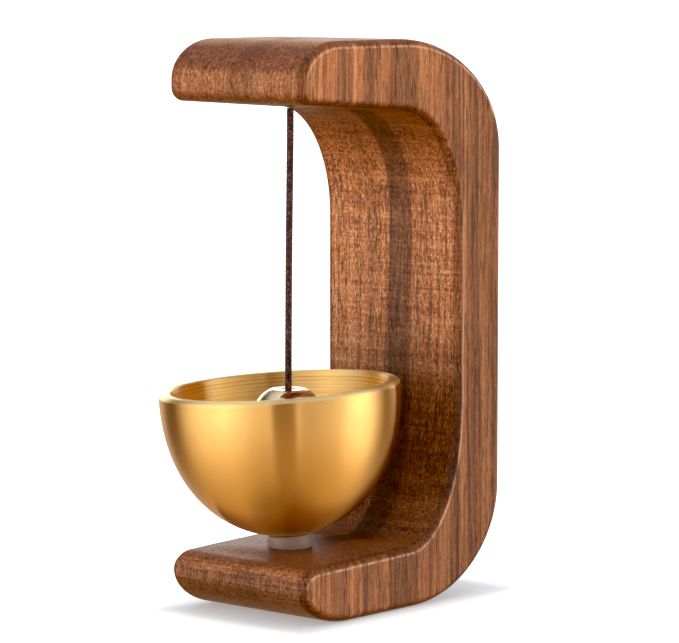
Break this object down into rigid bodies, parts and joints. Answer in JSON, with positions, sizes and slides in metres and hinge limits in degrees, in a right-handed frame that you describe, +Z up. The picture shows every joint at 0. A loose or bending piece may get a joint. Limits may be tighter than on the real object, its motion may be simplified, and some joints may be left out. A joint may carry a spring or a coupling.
{
  "type": "table bell",
  "caption": "Small bell: C-shaped walnut frame, brass bowl on its lower arm, and a clapper bead hanging into the bowl on a braided cord.",
  "frame": {"origin": "centre of the frame's width, on the flat base, under the middle of the frame's depth", "axes": "+Z up, +Y towards the flat back of the frame, X across the frame"},
  "size_m": [0.0458, 0.0671, 0.108],
  "materials": {
    "walnut": "oiled, hand-rounded edges, vertical grain",
    "bowl_brass": "fine satin, turned",
    "clapper_metal": "polished, pale",
    "silicone": "milky, slightly see-through",
    "screw_steel": "bright",
    "magnet_nickel": "nickel plated",
    "cord_braid": "tight waxed braid, dark red-brown"
  },
  "bodies": {
    "frame": {"wood_frame": "walnut", "magnet_upper": "magnet_nickel", "magnet_lower": "magnet_nickel", "bowl_washer": "silicone", "inner_washer": "silicone", "bowl_screw": "screw_steel", "cord_top_knot": "cord_braid", "cord_in_arm": "cord_braid"},
    "bowl": {"brass_bowl": "bowl_brass"},
    "cord_mouth": {"cord_swivel": "cord_braid"},
    "hanging_cord": {"cord": "cord_braid", "clapper_knot": "cord_braid"},
    "clapper_bead": {"clapper": "clapper_metal"}
  },
  "joints": [
    {"name": "bowl_turn", "type": "hinge", "parent": "frame", "child": "bowl", "pos_m": [0, -0.014, 0.0143], "axis": [-0.0486, -0.0438, 0.9979], "continuous": true},
    {"name": "cord_twist", "type": "hinge", "parent": "frame", "child": "cord_mouth", "pos_m": [0.00032, -0.0139, 0.09522], "axis": [0, 0, 1], "continuous": true},
    {"name": "clapper_swing", "type": "hinge", "parent": "cord_mouth", "child": "hanging_cord", "pos_m": [0.00032, -0.0139, 0.09522], "axis": [1, 0, 0], "range_deg": [-10.5, 10.5]},
    {"name": "clapper_lift", "type": "slide", "parent": "hanging_cord", "child": "clapper_bead", "axis": [0, 0, 1], "range_m": [0, 0.045]}
  ]
}
